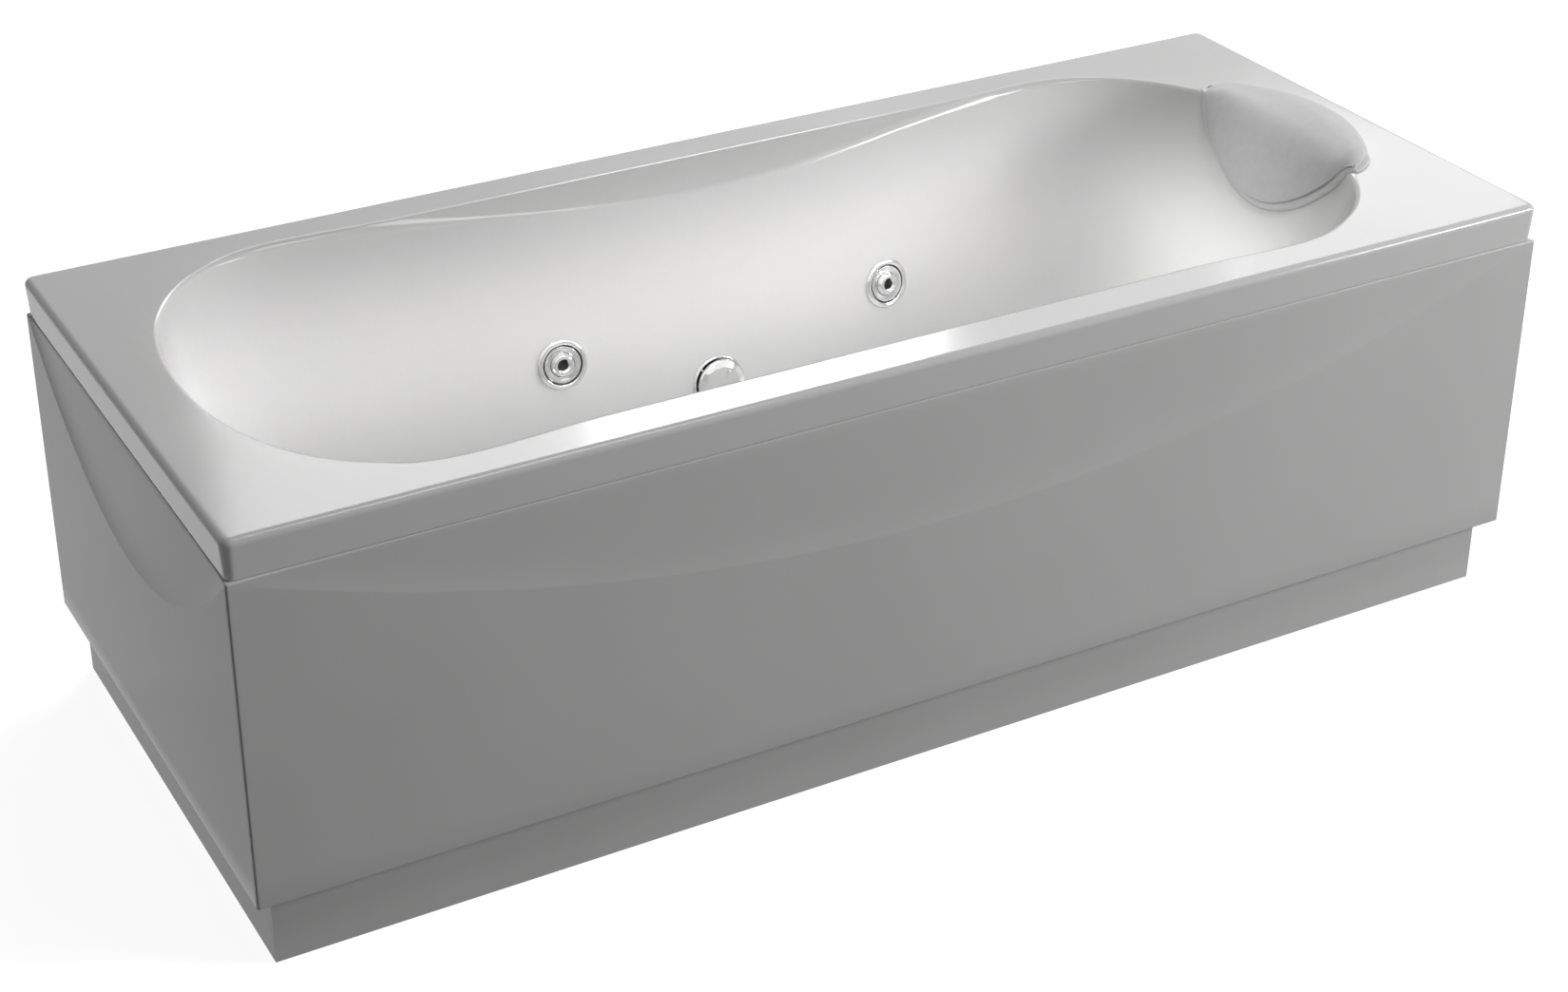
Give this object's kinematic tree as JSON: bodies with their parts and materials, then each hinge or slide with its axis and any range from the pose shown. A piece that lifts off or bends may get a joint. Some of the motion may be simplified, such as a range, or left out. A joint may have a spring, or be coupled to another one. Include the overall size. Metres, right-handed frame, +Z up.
{
  "type": "jetted bathtub",
  "caption": "Rectangular jetted bathtub with an hourglass basin, sloping backrest, wall jets, suction fitting, removable aprons, grey headrest, pump and a frame on levelling feet.",
  "frame": {"origin": "centre of the footprint, on the floor", "axes": "+X towards the head end with the headrest, -Y towards the room and the front apron, +Z up"},
  "size_m": [1.7, 0.7, 0.5645],
  "materials": {
    "acrylic": "glossy white acrylic",
    "panel": "glossy white acrylic sheet",
    "board": "bare chipboard",
    "zinc_steel": "bright zinc plated",
    "frame_paint": "satin light grey powder coat",
    "foot_steel": "zinc plated",
    "white_abs": "satin white",
    "chrome": "polished",
    "chrome_abs": "polished",
    "seal": "matt black",
    "black_plastic": "satin black",
    "motor_paint": "satin dark grey",
    "rotor_steel": "machined",
    "clear_hose": "translucent, pale grey",
    "pad_back": "satin light grey",
    "pad_skin": "soft grey skin, finely grained"
  },
  "bodies": {
    "tub": {"tub_shell": "acrylic", "base_board": "board", "front_apron": "panel", "end_apron": "panel", "front_plinth": "panel", "end_plinth": "panel", "apron_clips": "zinc_steel", "apron_screws": "zinc_steel", "foot_nuts": "zinc_steel", "wall_brackets": "zinc_steel", "frame_rails": "frame_paint", "cross_members": "frame_paint", "uprights": "frame_paint", "pump_plate": "frame_paint", "jet_bodies": "white_abs", "jet_nuts": "white_abs", "suction_body": "white_abs", "suction_nut": "white_abs", "air_valve_body": "white_abs", "button_body": "white_abs", "waste_body": "white_abs", "overflow_pipe": "white_abs", "drain_trap": "white_abs", "water_pipes": "white_abs", "suction_pipe": "white_abs", "jet_trims": "chrome", "suction_ring": "chrome", "suction_cover": "chrome", "waste_flange": "chrome", "overflow_body": "chrome_abs", "jet_gaskets": "seal", "suction_gasket": "seal", "pump_pads": "seal", "pump_volute": "black_plastic", "control_box": "black_plastic", "cable_gland": "black_plastic", "pump_motor": "motor_paint", "air_pipes": "clear_hose", "signal_tube": "clear_hose"},
    "air_knob": {"air_knob": "chrome"},
    "start_button": {"start_button": "chrome"},
    "overflow_knob": {"overflow_knob": "chrome"},
    "waste_plug": {"waste_plug": "chrome"},
    "pump_rotor": {"pump_rotor": "rotor_steel"},
    "headrest": {"headrest_base": "pad_back", "headrest_cushion": "pad_skin"},
    "foot_1": {"foot_1": "foot_steel"},
    "foot_2": {"foot_2": "foot_steel"},
    "foot_3": {"foot_3": "foot_steel"},
    "foot_4": {"foot_4": "foot_steel"},
    "foot_5": {"foot_5": "foot_steel"},
    "foot_6": {"foot_6": "foot_steel"},
    "jet_1_ring": {"jet_1_ring": "chrome"},
    "jet_1_nozzle": {"jet_1_nozzle": "chrome"},
    "jet_2_ring": {"jet_2_ring": "chrome"},
    "jet_2_nozzle": {"jet_2_nozzle": "chrome"},
    "jet_3_ring": {"jet_3_ring": "chrome"},
    "jet_3_nozzle": {"jet_3_nozzle": "chrome"},
    "jet_4_ring": {"jet_4_ring": "chrome"},
    "jet_4_nozzle": {"jet_4_nozzle": "chrome"}
  },
  "joints": [
    {"name": "jet_1_ring_turn", "type": "hinge", "parent": "tub", "child": "jet_1_ring", "pos_m": [-0.21795, 0.2239, 0.32491], "axis": [-0.1024, -0.9782, 0.1808], "range_deg": [0, 120]},
    {"name": "jet_1_nozzle_tilt", "type": "hinge", "parent": "jet_1_ring", "child": "jet_1_nozzle", "pos_m": [-0.21795, 0.2239, 0.32491], "axis": [0.9946, -0.1041, 0], "range_deg": [-15, 15]},
    {"name": "jet_2_ring_turn", "type": "hinge", "parent": "tub", "child": "jet_2_ring", "pos_m": [0.26394, 0.23192, 0.32491], "axis": [0.1192, -0.977, 0.177], "range_deg": [0, 120]},
    {"name": "jet_2_nozzle_tilt", "type": "hinge", "parent": "jet_2_ring", "child": "jet_2_nozzle", "pos_m": [0.26394, 0.23192, 0.32491], "axis": [0.9926, 0.1212, 0], "range_deg": [-15, 15]},
    {"name": "jet_3_ring_turn", "type": "hinge", "parent": "tub", "child": "jet_3_ring", "pos_m": [-0.21795, -0.2239, 0.32491], "axis": [-0.1024, 0.9782, 0.1808], "range_deg": [0, 120]},
    {"name": "jet_3_nozzle_tilt", "type": "hinge", "parent": "jet_3_ring", "child": "jet_3_nozzle", "pos_m": [-0.21795, -0.2239, 0.32491], "axis": [-0.9946, -0.1041, 0], "range_deg": [-15, 15]},
    {"name": "jet_4_ring_turn", "type": "hinge", "parent": "tub", "child": "jet_4_ring", "pos_m": [0.26394, -0.23192, 0.32491], "axis": [0.1192, 0.977, 0.177], "range_deg": [0, 120]},
    {"name": "jet_4_nozzle_tilt", "type": "hinge", "parent": "jet_4_ring", "child": "jet_4_nozzle", "pos_m": [0.26394, -0.23192, 0.32491], "axis": [-0.9926, 0.1212, 0], "range_deg": [-15, 15]},
    {"name": "air_knob_turn", "type": "hinge", "parent": "tub", "child": "air_knob", "pos_m": [0.14996, -0.24673, 0.46991], "axis": [0.0801, 0.9799, 0.1829], "range_deg": [0, 270]},
    {"name": "start_button_press", "type": "slide", "parent": "tub", "child": "start_button", "axis": [0.0259, -0.9822, -0.1863], "range_m": [0, 0.0035], "stiffness_N_per_m": 300, "springref_m": -0.004},
    {"name": "overflow_knob_turn", "type": "hinge", "parent": "tub", "child": "overflow_knob", "pos_m": [-0.75618, 0, 0.43977], "axis": [0.9806, 0, 0.1961], "range_deg": [0, 120]},
    {"name": "waste_plug_lift", "type": "slide", "parent": "tub", "child": "waste_plug", "axis": [0, 0, 1], "range_m": [0, 0.01]},
    {"name": "pump_rotor_spin", "type": "hinge", "parent": "tub", "child": "pump_rotor", "pos_m": [0.7, 0, 0.192], "axis": [0, 1, 0], "continuous": true},
    {"name": "foot_1_level", "type": "slide", "parent": "tub", "child": "foot_1", "axis": [0, 0, 1], "range_m": [-0.02, 0]},
    {"name": "foot_2_level", "type": "slide", "parent": "tub", "child": "foot_2", "axis": [0, 0, 1], "range_m": [-0.02, 0]},
    {"name": "foot_3_level", "type": "slide", "parent": "tub", "child": "foot_3", "axis": [0, 0, 1], "range_m": [-0.02, 0]},
    {"name": "foot_4_level", "type": "slide", "parent": "tub", "child": "foot_4", "axis": [0, 0, 1], "range_m": [-0.02, 0]},
    {"name": "foot_5_level", "type": "slide", "parent": "tub", "child": "foot_5", "axis": [0, 0, 1], "range_m": [-0.02, 0]},
    {"name": "foot_6_level", "type": "slide", "parent": "tub", "child": "foot_6", "axis": [0, 0, 1], "range_m": [-0.02, 0]},
    {"name": "headrest_pull_off", "type": "slide", "parent": "tub", "child": "headrest", "axis": [-0.5151, 0, 0.8571], "range_m": [0, 0.08]}
  ],
  "couplings": [
    {"joint": "waste_plug_lift", "follows": "overflow_knob_turn", "m_per_rad": 0.0047746}
  ]
}
